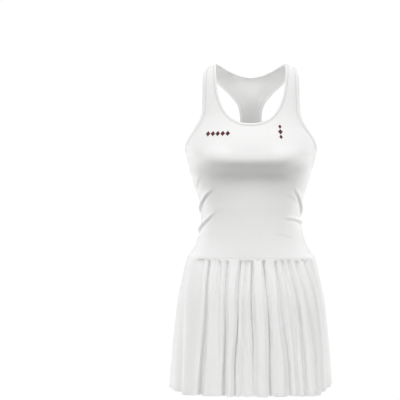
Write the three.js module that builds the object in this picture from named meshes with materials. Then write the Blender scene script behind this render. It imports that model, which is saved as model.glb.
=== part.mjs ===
// A sleeveless sports dress with a racer back and a gathered skirt set on at the hips, filled out as if worn.
// Millimetres. +Z is up, the front faces -Y and +X is the wearer's left. The origin lies midway between the two
// straps, level with the top of the shoulders, where the wearer carries the dress.
// A place on the cloth is given by how far round the body it lies (around: 0 at the centre front, positive to the
// wearer's left, 180 degrees at the centre back) and by how far down from the top of the shoulder (down).
import * as THREE from "three";

// Thickness of the cloth and of the doubled bindings, and the gap left at the seams
const BODICE_CLOTH = 1.4;
const SKIRT_CLOTH = 1.2;
const BINDING_CLOTH = 2.2;
const SEAM_GAP = 0.3;

// Heights, and the widths of the bindings
const WAIST_SEAM_Z = -492;
const HEM_Z = -821;
const UNDERARM_Z = -214;
const NECK_BINDING = 7.5;
const ARM_BINDING = 11;

// The shoulder: how softly the cloth rolls over it, and how it slopes away from the neck
const SHOULDER_ROLL = 25;
const SLOPE = { start: 80, reach: 34, drop: 13, power: 1.6, fadeDown: 90 };

// The form that the cloth takes, a row for each section: half its width, how far it reaches forwards and backwards,
// how far back its widest part lies, and how square its front and back are
const FORM = [
  { z: 0, halfWidth: 150, front: 0, back: 0, side: 0, frontSquare: 0, backSquare: 0 },
  { z: -2.5, halfWidth: 150.5, front: 17.5, back: 16, side: 0, frontSquare: 0, backSquare: 0 },
  { z: -9, halfWidth: 151, front: 32, back: 30.5, side: 0, frontSquare: 0, backSquare: 0 },
  { z: -20, halfWidth: 152, front: 44.5, back: 46, side: 0, frontSquare: 0, backSquare: 0 },
  { z: -34, halfWidth: 152.5, front: 53.5, back: 59, side: 0, frontSquare: 0, backSquare: 0 },
  { z: -50, halfWidth: 153, front: 61, back: 68, side: 0, frontSquare: 0, backSquare: 0 },
  { z: -75, halfWidth: 153.5, front: 69.5, back: 77.5, side: 0, frontSquare: 0, backSquare: 0 },
  { z: -105, halfWidth: 154.5, front: 79, back: 86, side: 0, frontSquare: 0, backSquare: 0 },
  { z: -135, halfWidth: 156.5, front: 90, back: 92.5, side: 0, frontSquare: 0, backSquare: 0 },
  { z: -165, halfWidth: 160.5, front: 105, back: 98.5, side: 0, frontSquare: 0.005, backSquare: 0.005 },
  { z: -190, halfWidth: 164, front: 119.5, back: 102.5, side: 0, frontSquare: 0.015, backSquare: 0.01 },
  { z: -214, halfWidth: 166, front: 131, back: 105, side: 0, frontSquare: 0.025, backSquare: 0.015 },
  { z: -228, halfWidth: 165, front: 135.5, back: 106, side: 0, frontSquare: 0.03, backSquare: 0.015 },
  { z: -240, halfWidth: 162, front: 136.5, back: 106, side: 0, frontSquare: 0.03, backSquare: 0.015 },
  { z: -250, halfWidth: 159.5, front: 136, back: 105.5, side: 0, frontSquare: 0.03, backSquare: 0.015 },
  { z: -258, halfWidth: 157.5, front: 133.5, back: 105.2, side: 0, frontSquare: 0.03, backSquare: 0.015 },
  { z: -268, halfWidth: 155.6, front: 125, back: 104.2, side: 0, frontSquare: 0.03, backSquare: 0.015 },
  { z: -278, halfWidth: 153.2, front: 114.5, back: 102.8, side: 0, frontSquare: 0.03, backSquare: 0.015 },
  { z: -288, halfWidth: 150, front: 106.5, back: 101, side: 0, frontSquare: 0.03, backSquare: 0.015 },
  { z: -298, halfWidth: 146.7, front: 102, back: 99.3, side: 0, frontSquare: 0.025, backSquare: 0.015 },
  { z: -312, halfWidth: 142.3, front: 98.5, back: 97.2, side: 0, frontSquare: 0.02, backSquare: 0.015 },
  { z: -330, halfWidth: 135.5, front: 96, back: 94.5, side: 0, frontSquare: 0.02, backSquare: 0.015 },
  { z: -345, halfWidth: 130.5, front: 95, back: 92, side: 0, frontSquare: 0.02, backSquare: 0.015 },
  { z: -365, halfWidth: 127.5, front: 93.5, back: 90, side: 0, frontSquare: 0.02, backSquare: 0.015 },
  { z: -385, halfWidth: 125.5, front: 93, back: 88.5, side: 0, frontSquare: 0.02, backSquare: 0.015 },
  { z: -400, halfWidth: 125.5, front: 93.5, back: 89, side: 0, frontSquare: 0.02, backSquare: 0.015 },
  { z: -420, halfWidth: 129, front: 95, back: 93, side: 0, frontSquare: 0.02, backSquare: 0.02 },
  { z: -440, halfWidth: 133.5, front: 97.5, back: 100, side: 0.5, frontSquare: 0.02, backSquare: 0.02 },
  { z: -460, halfWidth: 141, front: 100, back: 109, side: 1.5, frontSquare: 0.025, backSquare: 0.02 },
  { z: -476, halfWidth: 150, front: 102.5, back: 116, side: 2.5, frontSquare: 0.03, backSquare: 0.025 },
  { z: -492, halfWidth: 162, front: 105, back: 123, side: 4, frontSquare: 0.035, backSquare: 0.03 },
  { z: -504, halfWidth: 166, front: 109, back: 129, side: 5, frontSquare: 0.035, backSquare: 0.03 },
  { z: -535, halfWidth: 173, front: 118, back: 138, side: 7, frontSquare: 0.04, backSquare: 0.03 },
  { z: -581, halfWidth: 184, front: 129, back: 147, side: 10, frontSquare: 0.04, backSquare: 0.03 },
  { z: -642, halfWidth: 193, front: 139, back: 156, side: 13, frontSquare: 0.04, backSquare: 0.03 },
  { z: -703, halfWidth: 200, front: 146.5, back: 163, side: 16, frontSquare: 0.04, backSquare: 0.03 },
  { z: -764, halfWidth: 205, front: 152.5, back: 168.5, side: 18, frontSquare: 0.04, backSquare: 0.03 },
  { z: HEM_Z, halfWidth: 209, front: 157, back: 172, side: 20, frontSquare: 0.04, backSquare: 0.03 },
];

// The finished neck edge in front and behind: a rounded curve from its lowest point up to the shoulder
const NECK_FRONT = { halfWidth: 87.5, lowestZ: -158, acrossPower: 2.2, downPower: 3.3 };
const NECK_BACK = { halfWidth: 87.5, lowestZ: -29, acrossPower: 1.8, downPower: 1.3 };

// The finished armhole edge, from the side seam up to the shoulder in front and down again behind
const ARMHOLE_FRONT = [
  { around: 90, z: UNDERARM_Z },
  { around: 85.5, z: -212.5 },
  { around: 78, z: -204 },
  { around: 67, z: -183 },
  { around: 57.8, z: -159 },
  { around: 52.6, z: -134 },
  { around: 51.8, z: -96 },
  { around: 52.3, z: -50 },
  { around: 51.5, z: -18 },
  { around: 49.5, z: 0 },
];
const ARMHOLE_BACK = [
  { around: 130.5, z: 0 },
  { around: 135, z: -14 },
  { around: 146, z: -45 },
  { around: 158, z: -71 },
  { around: 166.6, z: -98 },
  { around: 169.6, z: -136 },
  { around: 166.5, z: -168 },
  { around: 155, z: -192 },
  { around: 134, z: -207 },
  { around: 112, z: -212 },
  { around: 90, z: UNDERARM_Z },
];

// The soft fullness over each side of the bust
const CUP = { across: 72, z: -229, reachAcross: 44, reachUp: 30, height: 4.5 };

// The drag folds at the waist, each from the side inwards: a ridge, steep on its lower side, with a trough under it.
// They flatten where the side seam holds the cloth.
const WAIST_RADIUS = 112;
const SEAM_HOLD = 9;
const STEEP_SHARE = 0.5;
const TROUGH = { share: 0.45, below: 1.25, width: 0.7 };
const DRAG_FOLDS = [
  { around: -95, z: -388, toAround: -42, toZ: -311, height: 4.2, width: 7, bend: 5 },
  { around: -97, z: -432, toAround: -34, toZ: -366, height: 3.8, width: 7, bend: -3 },
  { around: -72, z: -314, toAround: -50, toZ: -280, height: 1.8, width: 6, bend: 0 },
  { around: 100, z: -392, toAround: 46, toZ: -312, height: 4.2, width: 7, bend: 6 },
  { around: 101, z: -430, toAround: 32, toZ: -395, height: 3.8, width: 7, bend: 7 },
  { around: -106, z: -362, toAround: -152, toZ: -322, height: 3.4, width: 8, bend: 3 },
  { around: -108, z: -414, toAround: -158, toZ: -388, height: 3.4, width: 8, bend: -3 },
  { around: 105, z: -356, toAround: 150, toZ: -318, height: 3.4, width: 8, bend: 3 },
  { around: 107, z: -404, toAround: 156, toZ: -372, height: 3.4, width: 8, bend: -2 },
];

// The creases of the skirt, a row for each: where it lies around the body at the seam, lower down and at the hem,
// how deep it is as a gather at the seam, as a fold lower down and at the hem, and its lean, which is 1 where the
// cloth stands up steeply towards the next crease and -1 where it does so towards the one before
const FRONT_CREASES = [
  { seam: -90, middle: -90, hem: -90, gather: 2, fold: 3, deep: 4, lean: 0 },
  { seam: -82, middle: -77, hem: -76, gather: 2, fold: 4, deep: 6, lean: 0 },
  { seam: -72, middle: -60, hem: -56.5, gather: 1, fold: 7, deep: 19, lean: 1 },
  { seam: -42, middle: -39, hem: -38, gather: 6, fold: 2, deep: 1, lean: 0.5 },
  { seam: -36, middle: -31, hem: -33.5, gather: 5, fold: 16, deep: 19, lean: 0.7 },
  { seam: -27.5, middle: -26, hem: -26.5, gather: 6, fold: 2, deep: 1, lean: 0 },
  { seam: -22, middle: -21.2, hem: -20.8, gather: 5, fold: 9, deep: 8, lean: 0.6 },
  { seam: -18, middle: -17, hem: -15.5, gather: 4, fold: 15, deep: 18, lean: 0.8 },
  { seam: -12.5, middle: -12.6, hem: -12.3, gather: 6, fold: 1, deep: 1, lean: 0 },
  { seam: -6.6, middle: -8.6, hem: -9.2, gather: 5, fold: 16, deep: 19, lean: 0.2 },
  { seam: -2.8, middle: -4.6, hem: -4.5, gather: 5, fold: 5, deep: 8, lean: 0.4 },
  { seam: 0.9, middle: 0.8, hem: 2.2, gather: 5, fold: 17, deep: 17, lean: 0.8 },
  { seam: 6.8, middle: 5.6, hem: 6.8, gather: 5, fold: 1, deep: 2, lean: 0 },
  { seam: 11.2, middle: 11.2, hem: 11.8, gather: 5, fold: 15.5, deep: 18, lean: 0.8 },
  { seam: 16.7, middle: 15.8, hem: 17, gather: 5, fold: 2, deep: 5, lean: 0.5 },
  { seam: 22, middle: 21.6, hem: 24.5, gather: 5, fold: 16, deep: 16, lean: 0.8 },
  { seam: 28.7, middle: 29.5, hem: 31, gather: 5, fold: 13, deep: 11, lean: 0.8 },
  { seam: 34.6, middle: 39, hem: 37.5, gather: 5, fold: 16, deep: 13, lean: 0.8 },
  { seam: 45.2, middle: 46.5, hem: 45.5, gather: 4, fold: 2, deep: 2, lean: 0 },
  { seam: 55, middle: 53, hem: 51.5, gather: 4, fold: 14, deep: 23, lean: -1 },
  { seam: 64, middle: 68, hem: 69, gather: 4, fold: 8, deep: 12, lean: -0.5 },
  { seam: 78, middle: 80, hem: 81, gather: 2, fold: 5, deep: 6, lean: 0 },
  { seam: 90, middle: 90, hem: 90, gather: 2, fold: 3, deep: 4, lean: 0 },
];
const BACK_CREASES = [
  { seam: 90, middle: 90, hem: 90, gather: 2, fold: 3, deep: 4, lean: 0 },
  { seam: 98, middle: 100, hem: 99, gather: 3, fold: 8, deep: 12, lean: 0.6 },
  { seam: 106, middle: 111, hem: 112, gather: 3, fold: 9, deep: 14, lean: 0.8 },
  { seam: 115, middle: 119, hem: 118, gather: 5, fold: 3, deep: 2, lean: 0 },
  { seam: 123, middle: 127, hem: 128, gather: 4, fold: 10, deep: 15, lean: 0.9 },
  { seam: 130, middle: 132, hem: 134, gather: 5, fold: 2, deep: 6, lean: 0.4 },
  { seam: 137, middle: 140, hem: 142, gather: 5, fold: 12, deep: 14, lean: 1 },
  { seam: 144, middle: 146, hem: 147, gather: 6, fold: 1, deep: 3, lean: 0 },
  { seam: 150, middle: 151, hem: 154, gather: 5, fold: 9, deep: 13, lean: 0.8 },
  { seam: 157, middle: 158, hem: 159, gather: 5, fold: 11, deep: 8, lean: 0.5 },
  { seam: 164, middle: 165, hem: 167, gather: 5, fold: 5, deep: 13, lean: 0.8 },
  { seam: 171, middle: 170, hem: 172, gather: 6, fold: 9, deep: 6, lean: 0.5 },
  { seam: 177, middle: 178, hem: 179, gather: 5, fold: 12, deep: 15, lean: 0.9 },
  { seam: 184, middle: 184, hem: 185, gather: 6, fold: 2, deep: 5, lean: 0 },
  { seam: 190, middle: 191, hem: 190, gather: 5, fold: 11, deep: 14, lean: -0.8 },
  { seam: 197, middle: 197, hem: 197, gather: 5, fold: 5, deep: 9, lean: -0.5 },
  { seam: 204, middle: 203, hem: 204, gather: 5, fold: 10, deep: 12, lean: -0.8 },
  { seam: 211, middle: 210, hem: 209, gather: 6, fold: 2, deep: 1, lean: 0 },
  { seam: 218, middle: 216, hem: 216, gather: 5, fold: 11, deep: 15, lean: -1 },
  { seam: 226, middle: 224, hem: 223, gather: 5, fold: 4, deep: 7, lean: -0.4 },
  { seam: 235, middle: 232, hem: 230, gather: 4, fold: 10, deep: 14, lean: -0.9 },
  { seam: 245, middle: 243, hem: 242, gather: 3, fold: 7, deep: 11, lean: -0.6 },
  { seam: 257, middle: 256, hem: 257, gather: 2, fold: 6, deep: 9, lean: -0.4 },
  { seam: 270, middle: 270, hem: 270, gather: 2, fold: 3, deep: 4, lean: 0 },
];
// The share of the skirt's length where the middle column holds, how soon the gathers begin under the seam and fade,
// how wide a crease opens as a share of the way to its neighbour, and the distance under which two creases pull in
// the ridge between them
const MIDDLE_SHARE = 0.45;
const GATHER = { start: 5, reach: 24 };
const OPENING = { reach: 0.78, lean: 0.24, power: 1.35 };
const CROWDED = 14;
// How far the hem rises above its level around the skirt
const HEM_RISE = [
  { around: -90, rise: 0 },
  { around: -54, rise: -3 },
  { around: -25, rise: 0 },
  { around: 0, rise: 0 },
  { around: 25, rise: 0 },
  { around: 50, rise: -3 },
  { around: 68, rise: 4 },
  { around: 90, rise: 10 },
  { around: 125, rise: 3 },
  { around: 160, rise: 0 },
  { around: 270, rise: 0 },
];

// How finely the solids are drawn: heights of the rows under the armholes, steps along the armhole below and beside
// the neck opening, the share of the armhole below it, how late the rows rise at the centre, and the columns from
// the centre to the side
const FRONT_GRID = {
  heights: [-479, -465, -451, -438, -427, -416, -405, -394, -383, -372, -361, -350, -339, -328, -317, -305,
    -292, -280, -270, -260, -250, -238],
  armholeRows: 6,
  strapRows: 12,
  armholeShare: 0.3,
  rise: 1,
  columns: [0, 0.16, 0.3, 0.42, 0.5, 0.57, 0.64, 0.71, 0.78, 0.85, 0.92, 1],
};
const BACK_GRID = {
  heights: [-475, -455, -436, -418, -402, -387, -372, -357, -342, -327, -310, -290, -260],
  armholeRows: 14,
  strapRows: 7,
  armholeShare: 0.78,
  rise: 3,
  columns: [0, 0.2, 0.36, 0.5, 0.6, 0.7, 0.78, 0.86, 0.93, 1],
};
const CREASE_STEPS = [0, 0.15, 0.32, 0.5, 0.68, 0.85];
const SKIRT_ROWS = [0, 8, 22, 50, 100, 165, 245];

const QUARTER = Math.PI / 2;
const { degToRad, lerp, smoothstep } = THREE.MathUtils;

// Distance down from the top of the shoulder for a height, and the height for that distance
function downOf(z) {
  return Math.sqrt((SHOULDER_ROLL - z) ** 2 - SHOULDER_ROLL ** 2);
}
function heightOf(down) {
  return SHOULDER_ROLL - Math.sqrt(down ** 2 + SHOULDER_ROLL ** 2);
}

// A smooth curve through values at given places
function smoothCurve(places, values) {
  const last = places.length - 1;
  const incline = (i) => (values[i + 1] - values[i]) / (places[i + 1] - places[i]);
  const slopes = places.map((_, i) => {
    if (i === 0) return incline(0);
    if (i === last) return incline(last - 1);
    const before = places[i] - places[i - 1];
    const after = places[i + 1] - places[i];
    return (incline(i - 1) * after + incline(i) * before) / (before + after);
  });
  return (place) => {
    let i = 0;
    while (i < last - 1 && place > places[i + 1]) i++;
    const span = places[i + 1] - places[i];
    const t = (place - places[i]) / span;
    const rise = (values[i + 1] - values[i]) * t * t * (3 - 2 * t);
    const bend = t * (1 - t) ** 2 * slopes[i] - t * t * (1 - t) * slopes[i + 1];
    return values[i] + rise + bend * span;
  };
}

const formDowns = FORM.map((row) => downOf(row.z));
function formColumn(name) {
  return smoothCurve(formDowns, FORM.map((row) => row[name]));
}
const form = {
  halfWidth: formColumn("halfWidth"),
  front: formColumn("front"),
  back: formColumn("back"),
  side: formColumn("side"),
  frontSquare: formColumn("frontSquare"),
  backSquare: formColumn("backSquare"),
};

// A point of the plain form
function formPoint(around, down) {
  const inFront = Math.cos(around) > 0;
  const side = form.side(down);
  const depth = inFront ? form.front(down) + side : form.back(down) - side;
  const square = inFront ? form.frontSquare(down) : form.backSquare(down);
  const x = form.halfWidth(down) * (Math.sin(around) + square * Math.sin(3 * around)) / (1 - square);
  const y = side - depth * (Math.cos(around) - square * Math.cos(3 * around)) / (1 - square);
  const beyond = Math.max(0, (Math.abs(x) - SLOPE.start) / SLOPE.reach);
  const fade = 1 - smoothstep(down, 0, SLOPE.fadeDown);
  return new THREE.Vector3(x, y, heightOf(down) - SLOPE.drop * beyond ** SLOPE.power * fade);
}

// The outward normal of a surface(around, down)
function outwardNormal(surface, around, down) {
  const turn = 0.002;
  const step = 0.2;
  const along = surface(around + turn, down).sub(surface(around - turn, down));
  const lower = surface(around, down + step).sub(surface(around, Math.max(0, down - step)));
  return lower.cross(along).normalize();
}

// How far a drag fold stands out at a place
function dragFold(fold, around, z) {
  const start = new THREE.Vector2(degToRad(fold.around) * WAIST_RADIUS, fold.z);
  const along = new THREE.Vector2(degToRad(fold.toAround) * WAIST_RADIUS, fold.toZ).sub(start);
  const offset = new THREE.Vector2(around * WAIST_RADIUS, z).sub(start);
  const share = offset.dot(along) / along.lengthSq();
  if (share <= 0 || share >= 1) return 0;
  const swell = 4 * share * (1 - share);
  const above = (Math.sign(along.x) * along.cross(offset) / along.length() - fold.bend * swell) / fold.width;
  const ridge = Math.exp(-((above / (above > 0 ? 1 : STEEP_SHARE)) ** 2));
  const trough = Math.exp(-(((above + TROUGH.below) / TROUGH.width) ** 2));
  return fold.height * swell ** 0.7 * (ridge - TROUGH.share * trough);
}

// A point of the bodice as the cloth lies, with its drag folds and the fullness of the bust
function bodicePoint(around, down) {
  const point = formPoint(around, down);
  const toSeam = (Math.abs(around) - QUARTER) * WAIST_RADIUS;
  const loose = 1 - Math.exp(-((toSeam / SEAM_HOLD) ** 2));
  let out = loose * DRAG_FOLDS.reduce((sum, fold) => sum + dragFold(fold, around, point.z), 0);
  if (Math.cos(around) > 0) {
    const sideways = (Math.abs(point.x) - CUP.across) / CUP.reachAcross;
    const upward = (point.z - CUP.z) / CUP.reachUp;
    out += CUP.height * Math.exp(-(sideways ** 2) - upward ** 2);
  }
  return point.addScaledVector(outwardNormal(formPoint, around, down), out);
}

// An edge gives {around, down} for a share of its length. This makes one whose steps are equally long.
function evenEdge(edge) {
  const samples = 240;
  const lengths = [0];
  let before;
  for (let i = 0; i <= samples; i++) {
    const { around, down } = edge(i / samples);
    const point = formPoint(around, down);
    if (before) lengths.push(lengths[i - 1] + point.distanceTo(before));
    before = point;
  }
  return (share) => {
    const wanted = share * lengths[samples];
    let i = 0;
    while (i < samples - 1 && lengths[i + 1] < wanted) i++;
    return edge((i + (wanted - lengths[i]) / (lengths[i + 1] - lengths[i])) / samples);
  };
}
function neckCurve(neck) {
  return evenEdge((share) => {
    const angle = share * QUARTER;
    const x = neck.halfWidth * Math.sin(angle) ** (2 / neck.acrossPower);
    const down = downOf(neck.lowestZ) * Math.max(0, Math.cos(angle)) ** (2 / neck.downPower);
    return { around: Math.asin(x / form.halfWidth(down)), down };
  });
}
function armholeCurve(rows) {
  const points = rows.map((row) => new THREE.Vector3(row.around, downOf(row.z), 0));
  const curve = new THREE.CatmullRomCurve3(points, false, "centripetal");
  return evenEdge((share) => {
    const point = curve.getPoint(share);
    return { around: degToRad(point.x), down: Math.max(0, point.y) };
  });
}

// Both edges on the wearer's left: from 0 to 1 in front, up to the shoulder, and from 1 to 2 behind, down from it
const neckFront = neckCurve(NECK_FRONT);
const neckBack = neckCurve(NECK_BACK);
const armholeFront = armholeCurve(ARMHOLE_FRONT);
const armholeBack = armholeCurve(ARMHOLE_BACK);
const NECK = {
  inward: 1,
  at(t) {
    if (t <= 1) return neckFront(Math.max(0, t));
    const { around, down } = neckBack(Math.max(0, 2 - t));
    return { around: Math.PI - around, down };
  },
};
const ARMHOLE = {
  inward: -1,
  at(t) {
    const wrapped = (t + 2) % 2;
    return wrapped <= 1 ? armholeFront(wrapped) : armholeBack(wrapped - 1);
  },
};

// A place at a distance inside the cloth from a point of an edge; where the edge crosses a seam, the place is on it
function inset(edge, t, distance) {
  const small = 0.004;
  const turnStep = 0.002;
  const downStep = 0.5;
  const surface = (place) => formPoint(place.around, place.down);
  const { around, down } = edge.at(t);
  const along = surface(edge.at(t + small)).sub(surface(edge.at(t - small)));
  const inward = along.cross(outwardNormal(formPoint, around, down)).setLength(edge.inward * distance);
  const base = formPoint(around, down);
  const perTurn = formPoint(around + turnStep, down).sub(base).divideScalar(turnStep);
  const perDown = formPoint(around, down + downStep).sub(base).divideScalar(downStep);
  const turnTurn = perTurn.dot(perTurn);
  const turnDown = perTurn.dot(perDown);
  const downDown = perDown.dot(perDown);
  const spread = turnTurn * downDown - turnDown ** 2;
  const turned = downDown * perTurn.dot(inward) - turnDown * perDown.dot(inward);
  const lowered = turnTurn * perDown.dot(inward) - turnDown * perTurn.dot(inward);
  const atSideSeam = edge === ARMHOLE && t % 2 === 0;
  const atShoulder = t === 1;
  return {
    around: atSideSeam ? QUARTER : around + turned / spread,
    down: atShoulder ? 0 : Math.max(0, down + lowered / spread),
  };
}

// A closed wall of cloth: its corners are {point, normal}, and each face lists four of them, anticlockwise from outside
function clothWall(name, corners, faces, thickness, material) {
  const positions = [];
  for (const half of [thickness / 2, -thickness / 2]) {
    for (const { point, normal } of corners) {
      positions.push(...point.clone().addScaledVector(normal, half));
    }
  }
  const sides = new Set();
  for (const face of faces) {
    face.forEach((corner, i) => sides.add(`${corner} ${face[(i + 1) % 4]}`));
  }
  const inner = corners.length;
  const triangles = [];
  for (const [a, b, c, d] of faces) {
    triangles.push(a, b, c, a, c, d);
    triangles.push(c + inner, b + inner, a + inner, d + inner, c + inner, a + inner);
  }
  for (const side of sides) {
    const [a, b] = side.split(" ").map(Number);
    if (!sides.has(`${b} ${a}`)) triangles.push(b, a, a + inner, b, a + inner, b + inner);
  }
  const geometry = new THREE.BufferGeometry();
  geometry.setAttribute("position", new THREE.Float32BufferAttribute(positions, 3));
  geometry.setIndex(triangles);
  geometry.computeVertexNormals();
  const mesh = new THREE.Mesh(geometry, material);
  mesh.name = name;
  return mesh;
}

// A corner of the bodice's cloth; a level one lies at the waist seam, where the wall ends flat
function bodiceCorner(around, down, level = false) {
  const normal = outwardNormal(bodicePoint, around, down);
  if (level) normal.setZ(0).normalize();
  return { point: bodicePoint(around, down), normal };
}

// The rows of one half of a panel, each from the centre or the neck to the side seam or the armhole
function panelRows(grid, behind) {
  const edgeAt = (edge, share, width) => inset(edge, behind ? 2 - share : share, width + SEAM_GAP);
  const centre = behind ? Math.PI : 0;
  const seamTurn = SEAM_GAP / 2 / FORM[0].halfWidth;
  const side = behind ? QUARTER + seamTurn : QUARTER - seamTurn;
  const underarm = edgeAt(ARMHOLE, 0, ARM_BINDING).down;
  const neckBottom = edgeAt(NECK, 0, NECK_BINDING).down;
  const level = (down) => ({ from: { around: centre, down }, to: { around: side, down } });
  const rows = [{ ...level(downOf(WAIST_SEAM_Z + SEAM_GAP / 2)), flat: true }];
  for (const z of grid.heights) rows.push(level(downOf(z)));
  rows.push(level(underarm));
  for (let i = 1; i <= grid.armholeRows; i++) {
    const share = i / grid.armholeRows;
    const from = { around: centre, down: lerp(underarm, neckBottom, share ** grid.rise) };
    rows.push({ from, to: edgeAt(ARMHOLE, share * grid.armholeShare, ARM_BINDING) });
  }
  for (let i = 1; i <= grid.strapRows; i++) {
    const share = i / grid.strapRows;
    const from = edgeAt(NECK, share, NECK_BINDING);
    const to = edgeAt(ARMHOLE, lerp(grid.armholeShare, 1, share), ARM_BINDING);
    rows.push({ from, to, beside: true });
  }
  return rows;
}

// The front or the back of the bodice, from the waist seam to the shoulders
function bodicePanel(name, grid, behind, material) {
  const corners = [];
  const faces = [];
  const rows = panelRows(grid, behind);
  const last = grid.columns.length - 1;
  const shoulderDown = SEAM_GAP / 3;
  const centreCorners = [];
  for (const side of [1, -1]) {
    const numbers = rows.map((row, rowNumber) => grid.columns.map((share, column) => {
      const shared = column === 0 && !row.beside;
      if (shared && side === -1) return centreCorners[rowNumber];
      const turned = (place) => (behind ? Math.max(place.around, Math.PI - place.around) : place.around);
      const around = lerp(turned(row.from), turned(row.to), share);
      const down = Math.max(shoulderDown, lerp(row.from.down, row.to.down, share));
      corners.push(bodiceCorner(side * around, down, row.flat));
      if (shared) centreCorners[rowNumber] = corners.length - 1;
      return corners.length - 1;
    }));
    for (let row = 0; row < rows.length - 1; row++) {
      for (let column = 0; column < last; column++) {
        const [lower, upper] = [numbers[row], numbers[row + 1]];
        const face = [lower[column], lower[column + 1], upper[column + 1], upper[column]];
        faces.push((side === 1) === behind ? face.reverse() : face);
      }
    }
  }
  return clothWall(name, corners, faces, BODICE_CLOTH, material);
}

// The steps along an edge, from 0 to 2, that the panels beside it have
function neckSteps() {
  const front = Array.from({ length: FRONT_GRID.strapRows }, (_, i) => i / FRONT_GRID.strapRows);
  const back = Array.from({ length: BACK_GRID.strapRows + 1 }, (_, i) => 1 + i / BACK_GRID.strapRows);
  return [...front, ...back];
}
function armholeShares(grid) {
  const below = Array.from({ length: grid.armholeRows }, (_, i) => grid.armholeShare * i / grid.armholeRows);
  const beside = Array.from({ length: grid.strapRows },
    (_, i) => lerp(grid.armholeShare, 1, i / grid.strapRows));
  return [...below, ...beside];
}
function armholeSteps() {
  const back = armholeShares(BACK_GRID).map((share) => 2 - share).reverse();
  return [...armholeShares(FRONT_GRID), 1, ...back.slice(0, -1)];
}

// A binding: a closed ring of doubled cloth along an edge, through steps of {side, t}
function binding(name, edge, steps, width, material) {
  const corners = [];
  for (const { side, t } of steps) {
    for (const distance of [0, width]) {
      const { around, down } = inset(edge, t, distance);
      corners.push(bodiceCorner(side * around, down));
    }
  }
  const faces = steps.map((_, i) => {
    const next = (i + 1) % steps.length;
    return [2 * i + 1, 2 * next + 1, 2 * next, 2 * i];
  });
  return clothWall(name, corners, faces, BINDING_CLOTH, material);
}
function neckBinding(material) {
  const left = neckSteps().map((t) => ({ side: 1, t }));
  const right = left.slice(1, -1).map(({ t }) => ({ side: -1, t })).reverse();
  return binding("neck_band", NECK, [...left, ...right], NECK_BINDING, material);
}
function armholeBinding(name, side, material) {
  const steps = armholeSteps().map((t) => ({ side, t }));
  if (side === 1) steps.reverse();
  return binding(name, ARMHOLE, steps, ARM_BINDING, material);
}

// How much of a crease's depth is left at a distance from it, as a share of the way to the next
function creaseOpening(distance, lean) {
  const reach = OPENING.reach - OPENING.lean * lean;
  return (0.5 + 0.5 * Math.cos(Math.PI * Math.min(1, Math.abs(distance) / reach))) ** OPENING.power;
}

const hemRise = smoothCurve(HEM_RISE.map((row) => degToRad(row.around)), HEM_RISE.map((row) => row.rise));

// The creases of a skirt panel as curves: lane 0 is the first crease, 1 the next, and a half the ridge between
function skirtSurface(creases) {
  const shares = [0, MIDDLE_SHARE, 1];
  const lines = creases.map((crease) => ({
    around: smoothCurve(shares, [crease.seam, crease.middle, crease.hem].map(degToRad)),
    fold: smoothCurve(shares, [0, crease.fold, crease.deep]),
    gather: crease.gather,
    lean: crease.lean,
  }));
  const seamDown = downOf(WAIST_SEAM_Z);
  const length = WAIST_SEAM_Z - HEM_Z;
  return (lane, down) => {
    const below = down - seamDown;
    const before = Math.min(creases.length - 2, Math.max(0, Math.floor(lane)));
    const share = lane - before;
    const fullness = Math.exp(-((below / GATHER.reach) ** 2)) - Math.exp(-((below / GATHER.start) ** 2));
    const depth = (line) => line.gather * fullness + line.fold(below / length);
    const [left, right] = [lines[before], lines[before + 1]];
    const [leftTurn, rightTurn] = [left.around(below / length), right.around(below / length)];
    const apart = (rightTurn - leftTurn) * form.halfWidth(down);
    const crowded = Math.min(depth(left), depth(right)) * Math.exp(-((apart / CROWDED) ** 2));
    const fromLeft = depth(left) * creaseOpening(share, left.lean);
    const fromRight = depth(right) * creaseOpening(1 - share, -right.lean);
    const around = lerp(leftTurn, rightTurn, share);
    const lowered = seamDown + below * (1 - hemRise(around) / length);
    const outward = outwardNormal(formPoint, around, lowered).setZ(0).normalize();
    const inward = Math.max(fromLeft + fromRight, crowded);
    return formPoint(around, lowered).addScaledVector(outward, -inward);
  };
}

// The front or the back of the skirt, from the waist seam to the hem
function skirtPanel(name, creases, material) {
  const surface = skirtSurface(creases);
  const last = creases.length - 1;
  const seamDown = downOf(WAIST_SEAM_Z - SEAM_GAP / 2);
  const lanes = [];
  for (let crease = 0; crease < last; crease++) {
    for (const step of CREASE_STEPS) lanes.push(crease + step);
  }
  lanes.push(last);
  const seamLane = 0.01;
  lanes[0] = seamLane;
  lanes[lanes.length - 1] = last - seamLane;
  const downs = [...SKIRT_ROWS.map((below) => seamDown + below), downOf(HEM_Z)];
  const corners = [];
  for (const [row, down] of downs.entries()) {
    for (const lane of lanes) {
      const normal = outwardNormal(surface, lane, down);
      if (row === 0 || row === downs.length - 1) normal.setZ(0).normalize();
      corners.push({ point: surface(lane, down), normal });
    }
  }
  const faces = [];
  for (let row = 0; row < downs.length - 1; row++) {
    for (let column = 0; column < lanes.length - 1; column++) {
      const upper = row * lanes.length + column;
      const lower = upper + lanes.length;
      faces.push([upper, lower, lower + 1, upper + 1]);
    }
  }
  return clothWall(name, corners, faces, SKIRT_CLOTH, material);
}

function whiteJersey(roughness) {
  return new THREE.MeshStandardMaterial({ color: 0xf2f2f0, roughness, metalness: 0 });
}

function dress() {
  const bodiceJersey = whiteJersey(0.72);
  const bindingJersey = whiteJersey(0.66);
  const skirtJersey = whiteJersey(0.78);
  const group = new THREE.Group();
  group.add(bodicePanel("front_bodice", FRONT_GRID, false, bodiceJersey));
  group.add(bodicePanel("back_bodice", BACK_GRID, true, bodiceJersey));
  group.add(neckBinding(bindingJersey));
  group.add(armholeBinding("armhole_band_left", 1, bindingJersey));
  group.add(armholeBinding("armhole_band_right", -1, bindingJersey));
  group.add(skirtPanel("skirt_front", FRONT_CREASES, skirtJersey));
  group.add(skirtPanel("skirt_back", BACK_CREASES, skirtJersey));
  return group;
}

export default dress();
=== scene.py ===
import math

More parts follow.
